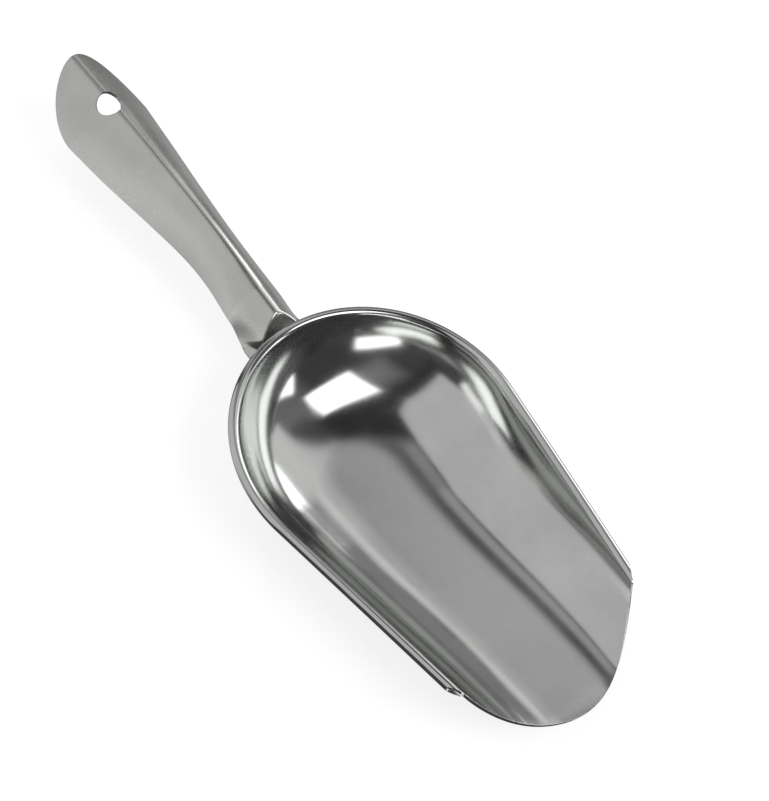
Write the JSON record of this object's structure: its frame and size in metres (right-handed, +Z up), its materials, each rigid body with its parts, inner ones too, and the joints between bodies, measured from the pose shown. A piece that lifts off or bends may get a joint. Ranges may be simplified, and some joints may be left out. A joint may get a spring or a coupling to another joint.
{
  "type": "ice scoop",
  "caption": "Polished steel ice scoop with a round-backed trough bowl, a curled rim and an open channel handle with a hanging hole.",
  "frame": {"origin": "middle of the scoop's box, on the surface that its floor rests on", "axes": "+X along the scoop towards the mouth, +Y towards the left side of the bowl seen from the handle, +Z up out of the bowl"},
  "size_m": [0.208, 0.076, 0.0253],
  "materials": {
    "bowl_steel": "polished",
    "handle_steel": "satin",
    "weld_steel": "matte"
  },
  "bodies": {
    "root": {"scoop_bowl": "bowl_steel", "handle": "handle_steel", "spot_weld_left": "weld_steel", "spot_weld_right": "weld_steel"}
  },
  "joints": []
}
